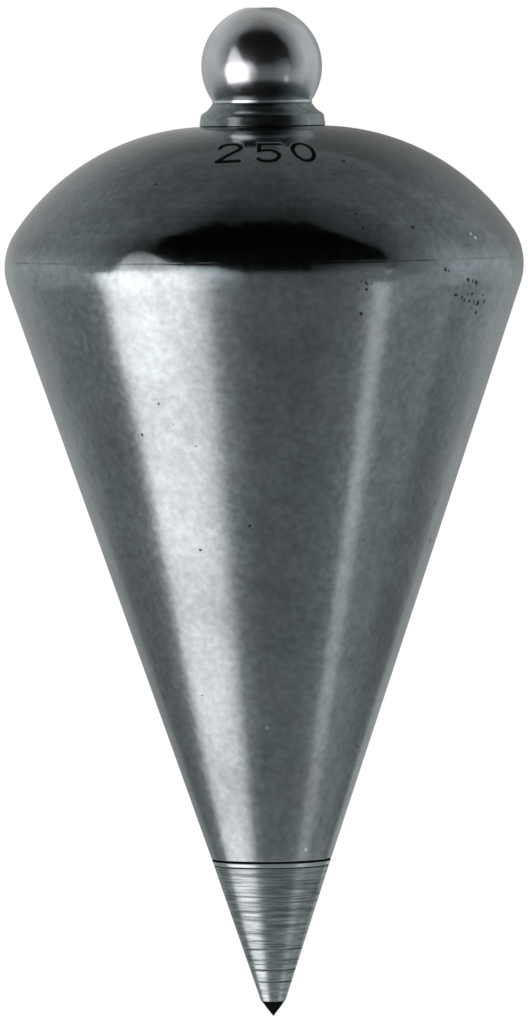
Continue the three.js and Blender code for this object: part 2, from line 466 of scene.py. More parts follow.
# Fine rings left by the lathe, drifting a little round the piece.
def makeLatheRings():
    tree, given, out = newGroup(
        "latheRings", {"Rings per mm": 6.0, "Wander": 0.6, "Offset": 0.0}, ["Height", "Streak"])
    xyz = split(tree, objectPlace(tree))
    flat = addNode(tree, "CombineXYZ", {0: xyz[0], 1: xyz[1]}).outputs[0]
    along = maths(tree, "SUBTRACT", xyz[2], vectorMaths(tree, "LENGTH", flat))
    along = maths(tree, "MULTIPLY", along, 1 / mm)
    along = maths(tree, "MULTIPLY", along, given["Rings per mm"])
    along = maths(tree, "ADD", along, given["Offset"])
    side = vectorMaths(tree, "SCALE", vectorMaths(tree, "NORMALIZE", flat), given["Wander"])
    side = split(tree, side)
    spot = addNode(tree, "CombineXYZ", {0: along, 1: side[0], 2: side[1]}).outputs[0]

    def rings(scale, detail, roughness):
        sockets = {"Vector": spot, "Scale": scale, "Detail": detail, "Roughness": roughness}
        return addNode(tree, "TexNoise", sockets).outputs[0]

    tree.links.new(rings(1.0, 3.0, 0.7), out.inputs["Height"])
    tree.links.new(remap(tree, rings(0.23, 2.0, 0.6), 0.35, 0.65, 0, 1), out.inputs["Streak"])
    return tree


# Soft cloudy spots, as on oiled steel that has been handled.
def makeMottle():
    tree, given, out = newGroup(
        "mottle", {"Spot size mm": 0.5, "Cloud size mm": 5.0}, ["Spots", "Clouds"])
    place = objectPlace(tree)

    def cloudy(size, detail, roughness):
        scale = maths(tree, "DIVIDE", 1 / mm, size)
        sockets = {"Vector": place, "Scale": scale, "Detail": detail, "Roughness": roughness}
        return remap(tree, addNode(tree, "TexNoise", sockets).outputs[0], 0.3, 0.7, 0, 1)

    tree.links.new(cloudy(given["Spot size mm"], 2.5, 0.6), out.inputs["Spots"])
    tree.links.new(cloudy(given["Cloud size mm"], 2.0, 0.55), out.inputs["Clouds"])
    return tree


# Scattered corrosion pits: a few cells of a grid hold one each, of a size of its own.
def makePits():
    tree, given, out = newGroup("pits", {"Cell mm": 1.2, "Share": 0.1, "Radius": 0.1}, ["Pit"])
    scale = maths(tree, "DIVIDE", 1 / mm, given["Cell mm"])
    cells = addNode(tree, "TexVoronoi", {"Vector": objectPlace(tree), "Scale": scale}).outputs
    chance = addNode(tree, "SeparateColor", {0: cells["Color"]}).outputs
    held = maths(tree, "LESS_THAN", chance[0], given["Share"])
    size = maths(tree, "MULTIPLY", given["Radius"], remap(tree, chance[1], 0, 1, 0.5, 1.3))
    inside = maths(tree, "DIVIDE", cells["Distance"], size)
    pit = remap(tree, inside, 0.45, 1.0, 1, 0, smooth=True)
    tree.links.new(maths(tree, "MULTIPLY", pit, held), out.inputs["Pit"])
    return tree


latheRings, mottle, scatteredPits = makeLatheRings(), makeMottle(), makePits()
print("finishes: lathe rings, mottle, pits")


# The lathe's marks run round the piece, so a highlight spreads more along Z than across it.
# bare is how far the metal shows, and facing a normal to use in place of the surface's own.
def finishSteel(tree, finish, colour, rough, height, bare=1.0, facing=None):
    bump = addNode(tree, "Bump", {"Height": height, "Distance": finish["ringDepth"] * mm})
    if facing:
        tree.links.new(facing, bump.inputs["Normal"])
    roundAbout = addNode(tree, "Tangent", direction_type="RADIAL", axis="Z").outputs[0]
    steel = addNode(tree, "BsdfPrincipled", {
        "Base Color": colour, "Roughness": rough, "Metallic": bare, "Normal": bump.outputs[0],
        "Specular IOR Level": 0.0,
        "Anisotropic": finish["spread"], "Anisotropic Rotation": 0.25, "Tangent": roundAbout})
    addNode(tree, "OutputMaterial", {"Surface": steel.outputs[0]})


head = {
    "cordHole": 0.8, "facet": 1.11, "ball": 4.535, "skirt": 3.76, "skirtHeight": 0.27,
    "stud": 3.0, "neck": 2.5, "neckTop": 0.5, "neckFoot": 0.8, "shank": 1.69, "studReach": 6.8,
    "pitch": 1.0, "threadDepth": 0.54, "knotSeat": 0.7,
    "threadFloor": 2.55,   # nothing inside this radius is threaded
    "leadIn": 0.5, "runOut": (0.1, 0.35),
    # painted shade on the stud inside the body, deeper at its thread's root
    "studShade": (0.15, 0.5),  # how dark the stud is, and how much more at its thread's root
    "studChamfer": 0.4, "skirtFillet": 0.1, "facetFillet": 0.1, "cordHoleFillet": 0.09,
    "knotSeatFillet": 0.15, "studEndFillet": 0.06, "neckFillet": 0.12,
    "columns": 144, "rowStep": 0.08, "ballStep": 0.22,
    # finish
    "rings": {"Rings per mm": 5.0, "Wander": 0.4},
    "wear": {"Spot size mm": 0.35, "Cloud size mm": 3.0},
    "tones": ((0.52, 0.57, 0.605), (0.59, 0.635, 0.665)),
    "topTone": (0.92, 0.95, 0.97), "topFrom": (-2.8, -0.4),
    # painted shade where the head is cut into
    "paintedShadeTone": (0.05, 0.05, 0.05), "paintedShadeShare": 0.7,
    "rough": (0.17, 0.21), "ringDepth": 0.003, "spread": 0.5,
    "lean": -0.075, "leanFrom": (-3.2, -1.2),
}
head["ballCentre"] = -math.sqrt(head["ball"] ** 2 - head["facet"] ** 2)
head["ballFoot"] = head["ballCentre"] - math.sqrt(head["ball"] ** 2 - head["skirt"] ** 2)
head["foot"] = head["ballFoot"] - head["skirtHeight"]
bodyTop = head["foot"] - head["shank"]


def polishedSteel():
    h = head
    material, tree = newMaterial("polishedSteel")
    rings = placeGroup(tree, latheRings, h["rings"])
    wear = placeGroup(tree, mottle, h["wear"])
    cut = attribute(tree, "cut")
    z = split(tree, objectPlace(tree))[2]
    colour = mixColours(tree, wear["Clouds"], *h["tones"])
    # the colour grows lighter towards the top than on the sides
    colour = mixColours(tree, blendUp(tree, z, h["topFrom"]), colour, h["topTone"])
    # painted shade on the stud and its thread
    colour = layOver(tree, colour, h["paintedShadeTone"], cut, h["paintedShadeShare"])
    rough = remap(tree, wear["Spots"], 0, 1, *h["rough"])
    # the ball is a shade pear-shaped, which lifts what it reflects
    low, high = h["leanFrom"]
    lean = remap(tree, z, low * mm, high * mm, h["lean"], 0, smooth=True)
    lean = addNode(tree, "CombineXYZ", {2: lean}).outputs[0]
    facing = addNode(tree, "NewGeometry").outputs["Normal"]
    facing = vectorMaths(tree, "NORMALIZE", vectorMaths(tree, "ADD", facing, lean))
    finishSteel(tree, h, colour, rough, rings["Height"], facing=facing)
    return material


def buildHead():
    h = head
    studEnd = bodyTop - h["studReach"]
    threadTop = bodyTop - h["neckFoot"] - h["neckTop"]
    upper = math.acos(h["facet"] / h["ball"])
    lower = -math.acos(h["skirt"] / h["ball"])
    corners = [
        (h["cordHole"], studEnd + h["knotSeat"] + 0.5, 0),  # the ring closes along the hole
        (h["cordHole"], studEnd + h["knotSeat"], h["knotSeatFillet"]),
        (h["cordHole"] + h["knotSeat"], studEnd, h["studEndFillet"]),
        (h["stud"] - h["studChamfer"], studEnd, 0),
        (h["stud"], studEnd + h["studChamfer"], 0),
        (h["stud"], threadTop, 0),
        (h["neck"], bodyTop - h["neckFoot"], h["neckFillet"]),
        (h["neck"], bodyTop - h["neckTop"], h["neckFillet"]),
        (h["stud"], bodyTop, 0),
        (h["stud"], h["foot"], 0),
        (h["skirt"], h["foot"], h["skirtFillet"]),
        (h["skirt"], h["ballFoot"], 0),
        *arc(0, h["ballCentre"], h["ball"], lower, upper, h["ballStep"])[1:-1],
        (h["facet"], 0, h["facetFillet"]),
        (h["cordHole"], 0, h["cordHoleFillet"]),
        (h["cordHole"], -0.6, 0),
    ]

    def cutThread(r, z, turns):
        over, under = h["runOut"]
        fade = step01(studEnd, studEnd + h["leadIn"], z)
        fade = fade * step01(threadTop + over, threadTop - under, z)
        depth = threadCut(z, turns, h["pitch"]) * fade * (r > h["threadFloor"])
        stud = (z < bodyTop) & (r < h["skirt"] - 0.5)
        # painted shade on the stud, deeper at the thread's root
        crest, deeper = h["studShade"]
        cut = np.where(stud, crest + deeper * depth, 0)
        return r - h["threadDepth"] * depth, z, cut

    line = filled(rounded(corners), h["rowStep"])
    return turn("Head", line, evenTurns(h["columns"]), ring=True, shape=cutThread)


fit(buildHead(), "head", "head", polishedSteel())


collar = {
    "bore": 3.1, "top": 3.76, "sideTop": 4.62, "foot": 4.74, "flare": 0.8, "cove": 0.07,
    "edgeFillet": 0.42, "footFillet": 0.07, "topFillet": 0.03, "boreFillet": 0.1,
    "columns": 180, "rowStep": 0.15, "coveSteps": 6,
    # finish
    "rings": {"Rings per mm": 7.0, "Wander": 0.5, "Offset": 40.0},
    "wear": {"Spot size mm": 0.4, "Cloud size mm": 2.5},
    "pits": {"Cell mm": 0.7, "Share": 0.06, "Radius": 0.12},
    "tones": ((0.18, 0.215, 0.226), (0.30, 0.35, 0.364)),
    "pitTone": (0.03, 0.03, 0.03), "pitShare": 0.8,
    "rough": (0.2, 0.27), "ringDepth": 0.004, "spread": 0.4,
}


def dullSteel():
    c = collar
    material, tree = newMaterial("dullSteel")
    rings = placeGroup(tree, latheRings, c["rings"])
    wear = placeGroup(tree, mottle, c["wear"])
    pit = placeGroup(tree, scatteredPits, c["pits"])["Pit"]
    colour = mixColours(tree, wear["Spots"], *c["tones"])
    colour = layOver(tree, colour, c["pitTone"], pit, c["pitShare"])
    rough = remap(tree, wear["Clouds"], 0, 1, *c["rough"])
    finishSteel(tree, c, colour, rough, maths(tree, "SUBTRACT", rings["Height"], pit))
    return material


def buildCollar():
    c, top = collar, head["foot"]
    side, steps = c["sideTop"], c["coveSteps"]
    cove = []
    for k in range(2, steps):
        t = k / steps
        bow = c["cove"] * 4 * t * (1 - t)
        r = c["top"] + (side - c["top"]) * (1 - t) - bow
        cove.append((r, top - c["flare"] * (1 - t) - bow, 0))
    corners = [
        (c["bore"], top - 0.8, 0),  # the ring closes along the bore
        (c["bore"], bodyTop, c["boreFillet"]),
        (c["foot"], bodyTop, c["footFillet"]),
        (side, top - c["flare"], c["edgeFillet"]),
        *cove,
        (c["top"], top, c["topFillet"]),
        (c["bore"], top, c["boreFillet"]),
    ]
    line = filled(rounded(corners), c["rowStep"])
    return turn("Collar", line, evenTurns(c["columns"]), ring=True)


fit(buildCollar(), "collar", "collar", dullSteel())


# The mass in grams, punched into the crown. Strokes are in a box one wide and one high.
number = {
    "out": 8.1,            # slope distance from the land to the middle of the digits
    "height": 2.8, "stroke": 0.21, "slant": 0.72, "depth": 0.15, "burr": 0.012,
    "box": (1.6, 2.2),     # how far a punch's marks reach either way
    # shares of the stroke: its sloping wall, the burr's place and spread, and the edge of the
    # painted shade
    "wall": (0.3, 1.0), "burrAt": 1.3, "burrSpread": 0.4, "shade": (0.7, 1.15),
    "digits": (
        dict(strokes="two", turn=-12.0, tilt=5.0, width=1.72),
        dict(strokes="five", turn=2.1, tilt=-1.0, width=1.7),
        dict(strokes="zero", turn=14.7, tilt=0.0, width=1.5),
    ),
    "two": [[
        (0.04, 0.76), (0.12, 0.90), (0.30, 0.985), (0.52, 1.0), (0.76, 0.96), (0.93, 0.86),
        (0.97, 0.73), (0.88, 0.60), (0.66, 0.45), (0.38, 0.27), (0.14, 0.10), (0.0, 0.0),
        (1.0, 0.0)]],
    "five": [[
        (0.98, 1.0), (0.12, 1.0), (0.09, 0.56), (0.30, 0.61), (0.55, 0.62), (0.80, 0.54),
        (0.96, 0.38), (0.95, 0.22), (0.80, 0.07), (0.52, 0.0), (0.25, 0.01), (0.03, 0.12)]],
    "zero": [[
        (0.5 + 0.5 * math.sin(k * math.pi / 14), 0.5 + 0.5 * math.cos(k * math.pi / 14))
        for k in range(29)]],
}

bob = {
    "land": 4.08, "socketMouth": 3.6, "socket": 3.1, "socketChamfer": 0.5, "socketDepth": 7.8,
    "chamber": 2.5, "chamberDepth": 12.8, "diameter": 39, "shoulderDrop": 10.46, "shoulder": 4.82,
    "length": 55.08, "seam": 4.505, "tipSocket": 2.6, "tipSocketDepth": 8.2, "drillPoint": 118,
    "pitch": 1.0, "tipPitch": 0.8, "threadDepth": 0.4, "tipThreadDepth": 0.32,
    "seamFillet": 0.08, "tipSocketFillet": 0.12, "mouthFillet": 0.05,
    "rowStep": 1.2, "shoulderStep": 0.2, "crownStep": 0.25,
    "threadStep": 0.16, "tipThreadStep": 0.13, "leadIn": 0.3, "tipLeadIn": (0.15, 0.5),
    # boreShade is the painted shade inside the bores
    "boreShade": 0.5, "seamShade": (0.04, 0.35),  # how far the dark goes up, and in from the edge
    # closer rows and columns where the number stands
    "numberRows": (6.2, 10.0, 0.05), "numberColumns": (-19, 21, 0.25), "columnStep": 2.5,
    "crownDepth": 5,       # the number stands higher than this
    # finish
    "rings": {"Rings per mm": 8.0, "Wander": 1.0, "Offset": 90.0},
    "wear": {"Spot size mm": 0.55, "Cloud size mm": 5.0},
    "blotch": {"Spot size mm": 2.2, "Cloud size mm": 12.0},
    "scattered": {"Cell mm": 2.6, "Share": 0.1, "Radius": 0.05},
    "coneTones": ((0.264, 0.318, 0.338), (0.348, 0.416, 0.44)),
    "coneHaze": (0.34, 0.358, 0.385), "coneHazeShare": 0.3,
    "crownTones": ((0.148, 0.179, 0.188), (0.214, 0.252, 0.263)), "crownFrom": (-19.5, -17.5),
    "crownStreak": (0.14, 0.155, 0.165), "crownStreakShare": 0.35,
    # the crown grows darker towards the collar
    "nearCollarTone": (0.095, 0.11, 0.115), "nearCollarFrom": (-14.5, -9.5), "nearCollarShare": 0.45,
    "blotchTones": ((0.79, 0.79, 0.79), (1.21, 1.21, 1.21)),
    "pitTone": (0.02, 0.02, 0.02), "pitShare": 0.9, "pitDepth": 12.0,
    "pitEdge": (5.0, 0.42),  # how many ripples a millimetre, and how far they reach
    "speckTone": (0.6, 0.63, 0.64),
    "scribed": -18.85, "scribedHalf": (0.03, 0.09),
    "scribedTone": (0.03, 0.03, 0.03), "scribedShare": 0.6,
    # painted shade in the digits and bores, and the dark line at the seam
    "paintedShadeTone": (0.003, 0.003, 0.003),
    "rough": (0.185, 0.225), "smoother": 0.085, "smootherFrom": (-21.2, -18.6),
    "ringHeight": 0.35, "ringDepth": 0.003, "spread": 0.3,
    # corrosion pits alone or in a small crowd: turn, height and radius
    "pits": (
        (51.3, -20.4, 0.13), (53.0, -20.5, 0.10), (54.4, -20.6, 0.16), (48.2, -21.5, 0.14),
        (50.4, -21.7, 0.09), (52.3, -21.5, 0.10), (53.9, -21.5, 0.12), (51.6, -21.9, 0.09),
        (53.6, -22.0, 0.14), (55.6, -22.1, 0.10), (57.2, -22.2, 0.17), (60.0, -22.1, 0.12),
        (57.6, -22.9, 0.12), (55.2, -22.5, 0.08), (58.6, -21.6, 0.07), (43.4, -19.6, 0.12),
        (44.6, -19.7, 0.08), (22.8, -20.5, 0.11), (24.1, -20.5, 0.09), (21.6, -20.3, 0.08),
        (23.0, -20.9, 0.09), (21.0, -20.8, 0.07), (22.4, -22.7, 0.13), (26.5, -11.5, 0.14),
        (20.7, -12.5, 0.12), (28.0, -11.9, 0.08), (22.5, -15.3, 0.11), (23.1, -16.4, 0.10),
        (36.5, -16.4, 0.12), (-1.9, -28.1, 0.09), (-3.4, -28.3, 0.07), (-35.1, -28.1, 0.05),
        (-28.8, -29.2, 0.06), (-25.7, -30.8, 0.045), (-36.2, -31.6, 0.08), (-19.8, -32.4, 0.05),
        (-5.5, -38.4, 0.11), (-4.6, -38.7, 0.08), (73.7, -40.1, 0.16), (61.3, -55.4, 0.12),
        (-31.0, -13.0, 0.1), (128.0, -24.0, 0.16), (131.0, -25.2, 0.12), (-118.0, -34.0, 0.14),
        (171.0, -19.0, 0.15),
    ),
    "specks": ((-1.5, -53.7, 0.14), (32.6, -63.1, 0.12), (55.6, -17.3, 0.12), (54.4, -17.0, 0.1)),
}
# The crown leaves the land level and runs tangent into the shoulder, as that does into the cone.
bob["shoulderOut"] = bob["diameter"] / 2 - bob["shoulder"]
bob["reach"] = bob["shoulderOut"] - bob["land"]
bob["crown"] = (bob["reach"] ** 2 + bob["shoulderDrop"] ** 2 - bob["shoulder"] ** 2) / (
    2 * (bob["shoulderDrop"] - bob["shoulder"]))
bob["crownEnd"] = math.atan2(bob["crown"] - bob["shoulderDrop"], bob["reach"])
coneReach, coneRise = bob["shoulderOut"] - bob["seam"], bob["length"] - bob["shoulderDrop"]
bob["cone"] = math.atan2(coneRise, coneReach) - math.asin(
    bob["shoulder"] / math.hypot(coneReach, coneRise))
seamTop = bodyTop - bob["length"]


def strokeDistance(x, y, strokes):
    nearest = np.full(x.shape, 9.0)
    for stroke in strokes:
        for (x0, y0), (x1, y1) in zip(stroke, stroke[1:]):
            dx, dy = x1 - x0, y1 - y0
            t = np.clip(((x - x0) * dx + (y - y0) * dy) / (dx * dx + dy * dy), 0, 1)
            nearest = np.minimum(nearest, np.hypot(x - x0 - t * dx, y - y0 - t * dy))
    return nearest


# Sinks the digits into the crown, with a low burr thrown up along their strokes.
def punchNumber(r, z, turns):
    n = number
    slope = np.arcsin(np.clip((r - bob["land"]) / bob["crown"], 0, 1))
    out = bob["crown"] * slope
    onCrown = (z > bodyTop - bob["crownDepth"]) & (r > bob["land"] + 1)
    sunk, cut = np.zeros_like(r), np.zeros_like(r)
    for digit in n["digits"]:
        angle = (turns - math.radians(digit["turn"]) + math.pi) % (2 * math.pi) - math.pi
        across, up = r * angle, n["out"] - out
        tilt = math.radians(digit["tilt"])
        x = across * math.cos(tilt) + up * math.sin(tilt)
        y = up * math.cos(tilt) - across * math.sin(tilt)
        near = onCrown & (np.abs(x) < n["box"][0]) & (np.abs(y) < n["box"][1])
        wide, high = digit["width"], n["height"] * n["slant"]
        strokes = [
            [((px - 0.5) * wide, (py - 0.5) * high) for px, py in stroke]
            for stroke in n[digit["strokes"]]
        ]
        away = strokeDistance(x[near], y[near] * n["slant"], strokes)
        half = n["stroke"]
        sunk[near] += n["depth"] * (1 - step01(*(share * half for share in n["wall"]), away))
        burr = np.exp(-((away - n["burrAt"] * half) / (n["burrSpread"] * half)) ** 2)
        sunk[near] -= n["burr"] * burr
        # painted shade in the strokes
        cut[near] += 1 - step01(*(share * half for share in n["shade"]), away)
    return r - sunk * np.sin(slope), z - sunk * np.cos(slope), np.clip(cut, 0, 1)


# The body's radius at a height.
def bodyRadius(z):
    b, drop = bob, bodyTop - z
    crownDrop = b["crown"] * (1 - math.cos(math.pi / 2 - b["crownEnd"]))
    if drop < crownDrop:
        return b["land"] + math.sqrt(b["crown"] ** 2 - (b["crown"] - drop) ** 2)
    below = drop - b["shoulderDrop"]
    if below < b["shoulder"] * math.cos(b["cone"]):
        return b["shoulderOut"] + math.sqrt(b["shoulder"] ** 2 - below ** 2)
    return b["seam"] + (b["length"] - drop) / math.tan(b["cone"])


# One mask for a list of spots on the body.
def markSpots(tree, place, spots):
    total = None
    for turned, z, size in spots:
        r, t = bodyRadius(z), math.radians(turned)
        centre = (r * math.sin(t) * mm, -r * math.cos(t) * mm, z * mm)
        away = vectorMaths(tree, "DISTANCE", place, centre)
        spot = remap(tree, away, size * 0.9 * mm, size * 1.5 * mm, 1, 0, smooth=True)
        total = spot if total is None else maths(tree, "MAXIMUM", total, spot)
    return total


# Shifts the place a little back and forth, so that what is drawn there gets a ragged edge.
def raggedPlace(tree, place):
    ripples, reach = bob["pitEdge"]
    noise = addNode(tree, "TexNoise", {"Vector": place, "Scale": ripples / mm}).outputs["Color"]
    shift = vectorMaths(tree, "SUBTRACT", noise, (0.5, 0.5, 0.5))
    return vectorMaths(tree, "ADD", place, vectorMaths(tree, "SCALE", shift, reach * mm))


def satinSteel():
    b = bob
    material, tree = newMaterial("satinSteel")
    rings = placeGroup(tree, latheRings, b["rings"])
    wear = placeGroup(tree, mottle, b["wear"])
    blotch = placeGroup(tree, mottle, b["blotch"])
    scattered = placeGroup(tree, scatteredPits, b["scattered"])["Pit"]
    cut, place = attribute(tree, "cut"), objectPlace(tree)
    z = split(tree, place)[2]
    pitted = markSpots(tree, raggedPlace(tree, place), b["pits"])
    pitted = maths(tree, "MAXIMUM", scattered, pitted)

    # the crown is darker than the cone, and darkest towards the collar
    cone = mixColours(tree, wear["Spots"], *b["coneTones"])
    cone = layOver(tree, cone, b["coneHaze"], wear["Clouds"], b["coneHazeShare"])
    crown = mixColours(tree, wear["Spots"], *b["crownTones"])
    crown = layOver(tree, crown, b["crownStreak"], rings["Streak"], b["crownStreakShare"])
    colour = mixColours(tree, blendUp(tree, z, b["crownFrom"]), cone, crown)
    nearCollar = blendUp(tree, z, b["nearCollarFrom"], b["nearCollarShare"])
    colour = mixColours(tree, nearCollar, colour, b["nearCollarTone"])
    patchy = maths(tree, "ADD", blotch["Spots"], blotch["Clouds"])
    patchy = mixColours(tree, maths(tree, "MULTIPLY", patchy, 0.5), *b["blotchTones"])
    colour = mixColours(tree, 1.0, colour, patchy, "MULTIPLY")
    colour = layOver(tree, colour, b["pitTone"], pitted, b["pitShare"])
    colour = mixColours(tree, markSpots(tree, place, b["specks"]), colour, b["speckTone"])

    # a fine line scribed round the widest part, worn away in places
    near, far = b["scribedHalf"]
    line = maths(tree, "ABSOLUTE", maths(tree, "SUBTRACT", z, b["scribed"] * mm))
    line = remap(tree, line, near * mm, far * mm, 1, 0, smooth=True)
    line = maths(tree, "MULTIPLY", line, remap(tree, wear["Clouds"], 0.3, 0.7, 0.2, 1))
    colour = layOver(tree, colour, b["scribedTone"], line, b["scribedShare"])
    # painted shade in the digits and bores, and the dark line at the seam
    colour = mixColours(tree, cut, colour, b["paintedShadeTone"])

    rough = remap(tree, wear["Spots"], 0, 1, *b["rough"])
    rough = maths(tree, "SUBTRACT", rough, blendUp(tree, z, b["smootherFrom"], b["smoother"]))
    height = maths(tree, "MULTIPLY", rings["Height"], b["ringHeight"])
    height = maths(tree, "SUBTRACT", height, maths(tree, "MULTIPLY", pitted, b["pitDepth"]))
    height = maths(tree, "SUBTRACT", height, line)
    finishSteel(tree, b, colour, rough, height, maths(tree, "SUBTRACT", 1.0, cut))
    return material


def buildBody():
    b = bob
    drill = math.tan(math.radians(b["drillPoint"] / 2))
    tipSocketTop = -b["length"] + b["tipSocketDepth"]
    coneStart = b["cone"] - math.pi / 2
    shoulder = (b["shoulderOut"], -b["shoulderDrop"], b["shoulder"])
    crown = (b["land"], -b["crown"], b["crown"])
    corners = [
        (0, tipSocketTop + b["tipSocket"] / drill, 0),
        (b["tipSocket"], tipSocketTop, 0),
        (b["tipSocket"], -b["length"], b["tipSocketFillet"]),
        (b["seam"], -b["length"], b["seamFillet"]),
        *arc(*shoulder, coneStart, b["crownEnd"], b["shoulderStep"])[:-1],
        *arc(*crown, b["crownEnd"], math.pi / 2, b["crownStep"]),
        (b["socketMouth"], 0, b["mouthFillet"]),
        (b["socket"], -b["socketChamfer"], b["mouthFillet"]),
        (b["socket"], -b["socketDepth"], 0),
        (b["chamber"], -b["socketDepth"], 0),
        (b["chamber"], -b["chamberDepth"], 0),
        (0, -b["chamberDepth"] - b["chamber"] / drill, 0),
    ]
    line = [np.array((r, z + bodyTop)) for r, z in filled(rounded(corners), b["rowStep"])]
    line = closerRows(line, *b["numberRows"])
    line = threadRows(line, b["socket"], b["threadStep"])
    line = threadRows(line, b["tipSocket"], b["tipThreadStep"])

    def shape(r, z, turns):
        upper = (np.abs(r - b["socket"]) < 0.01) & (z > bodyTop - b["socketDepth"] + 0.01)
        lower = (np.abs(r - b["tipSocket"]) < 0.01) & (z < bodyTop + tipSocketTop - 0.01)
        mouth = bodyTop - b["socketChamfer"]
        start, full = b["tipLeadIn"]
        upperThread = 1 - threadCut(z, turns, b["pitch"])
        upperThread = upperThread * step01(mouth, mouth - b["leadIn"], z)
        lowerThread = 1 - threadCut(z, turns, b["tipPitch"])
        lowerThread = lowerThread * step01(seamTop + start, seamTop + full, z)
        grown = np.where(upper, b["threadDepth"] * upperThread, 0)
        grown = grown + np.where(lower, b["tipThreadDepth"] * lowerThread, 0)
        punchedR, punchedZ, cut = punchNumber(r, z, turns)
        # painted shade inside the bores, and a dark line along the seam
        inside = (r < b["socketMouth"] + 0.02) & (z < bodyTop - 0.1) & (z > seamTop + 0.05)
        up, inwards = b["seamShade"]
        seamDark = np.clip(1 - (z - seamTop) / up, 0, 1) * (r > b["seam"] - inwards)
        cut = np.where(inside, b["boreShade"], np.maximum(cut, seamDark))
        return punchedR + grown, punchedZ, cut

    first, last, step = b["numberColumns"]
    turns = np.concatenate([
        np.arange(first, last, step), np.arange(last, first + 360, b["columnStep"])])
    return turn("Body", line, np.radians(turns), shape=shape)


# Close rows over the band of the crown that carries the number.
def closerRows(line, nearest, furthest, step):
    land, crown, floor = bob["land"], bob["crown"], bodyTop - bob["crownDepth"]
    band = np.arange(furthest / crown, nearest / crown, -step / crown)
    rows = [
        np.array((land + crown * math.sin(t), bodyTop - crown * (1 - math.cos(t)))) for t in band]
    inner, outer = rows[-1][0], rows[0][0]
    kept = [p for p in line if not (p[1] > floor and inner - 0.02 < p[0] < outer + 0.02)]
    at = next(i for i, p in enumerate(kept) if p[1] > floor and p[0] < inner)
    return kept[:at] + rows + kept[at:]


# Close rows down the straight wall of a threaded bore.
def threadRows(line, radius, step):
    closer = [line[0]]
    for spot in line[1:]:
        last = closer[-1]
        wall = abs(last[0] - radius) < 1e-6 and abs(spot[0] - radius) < 1e-6
        count = max(1, math.ceil(abs(spot[1] - last[1]) / step)) if wall else 1
        closer.extend(last + (spot - last) * k / count for k in range(1, count + 1))
    return closer


fit(buildBody(), "bob_body", "bob", satinSteel())


tip = {
    "stud": 2.5, "studLength": 7.0, "studChamfer": 0.4, "pitch": 0.8, "threadDepth": 0.43,
    "length": 10.77, "end": 0.92, "bore": 0.78, "boreDepth": 5.3,
    "gaugeDrop": 0.51, "gaugeDepth": 0.055,
    "seamFillet": 0.08, "endFillet": 0.03, "gaugeFillet": 0.02,
    "columns": 144, "rowStep": 0.05, "leadIn": 0.45, "runOut": (0.1, 0.7),
    # painted shade on the stud and in the gauge line: how dark the stud is, how far the gauge
    # line's dark reaches, and where the seam's dark line ends, down the side and in from the edge
    "studShade": 0.5, "gaugeShade": 0.06, "seamShade": ((0.23, 0.16), (0.55, 0.2)),
    # the deeper tool marks: drop below the seam, depth, half width and painted shade
    "marks": (
        (1.01, 0.002, 0.04, 0.45), (1.51, 0.002, 0.04, 0.50), (2.13, 0.002, 0.04, 0.30),
        (2.69, 0.004, 0.06, 0.95), (3.13, 0.004, 0.06, 1.00), (3.44, 0.002, 0.04, 0.35),
        (3.83, 0.004, 0.08, 0.50), (4.49, 0.003, 0.05, 0.40), (5.53, 0.003, 0.05, 0.65),
        (6.11, 0.002, 0.04, 0.30), (6.75, 0.005, 0.07, 1.05), (7.59, 0.005, 0.06, 1.05),
        (7.91, 0.003, 0.06, 0.90), (8.35, 0.007, 0.07, 1.20), (8.93, 0.003, 0.04, 0.45),
        (9.26, 0.006, 0.06, 1.40), (9.94, 0.003, 0.05, 0.65),
    ),
    # finish
    "rings": {"Rings per mm": 7.5, "Wander": 0.9, "Offset": 150.0},
    "wear": {"Spot size mm": 0.4, "Cloud size mm": 2.5},
    "tones": ((0.12, 0.147, 0.155), (0.42, 0.497, 0.52)), "ridge": (0.37, 0.63),
    "streak": (0.46, 0.545, 0.565), "streakShare": 0.25,
    # a narrow lighter band between the seam and the gauge line
    "lightBandTone": (0.58, 0.66, 0.68), "lightBandDrop": 0.32, "lightBandHalf": (0.08, 0.2),
    "lightBandShare": 0.7,
    # painted highlight: the steel grows lighter towards the point
    "paintedHighlightTone": (0.66, 0.76, 0.79), "paintedHighlightFrom": (4.6, 0.3), "paintedHighlightShare": 0.3,
    # painted shade where the tip is cut into
    "paintedShadeTone": (0.003, 0.003, 0.003),
    "rough": (0.2, 0.26), "ringDepth": 0.009, "spread": 0.4,
}
tipEnd = seamTop - tip["length"]


def turnedSteel():
    t = tip
    material, tree = newMaterial("turnedSteel")
    rings = placeGroup(tree, latheRings, t["rings"])
    wear = placeGroup(tree, mottle, t["wear"])
    cut = attribute(tree, "cut")
    z = split(tree, objectPlace(tree))[2]
    ridge = remap(tree, rings["Height"], *t["ridge"], 0, 1)
    colour = mixColours(tree, ridge, *t["tones"])
    colour = layOver(tree, colour, t["streak"], rings["Streak"], t["streakShare"])
    # a narrow band between the seam and the gauge line is lighter
    near, far = t["lightBandHalf"]
    lightBand = maths(tree, "SUBTRACT", z, (seamTop - t["lightBandDrop"]) * mm)
    lightBand = maths(tree, "ABSOLUTE", lightBand)
    lightBand = remap(tree, lightBand, near * mm, far * mm, t["lightBandShare"], 0, smooth=True)
    colour = mixColours(tree, lightBand, colour, t["lightBandTone"])
    # a painted highlight makes the steel lighter towards the point
    upper, lower = (tipEnd + rise for rise in t["paintedHighlightFrom"])
    paintedHighlight = remap(tree, z, upper * mm, lower * mm, 0, t["paintedHighlightShare"])
    colour = mixColours(tree, paintedHighlight, colour, t["paintedHighlightTone"])
    # painted shade where the tip is cut into
    colour = mixColours(tree, cut, colour, t["paintedShadeTone"])
    rough = remap(tree, wear["Spots"], 0, 1, *t["rough"])
    finishSteel(tree, t, colour, rough, rings["Height"], maths(tree, "SUBTRACT", 1.0, cut))
    return material


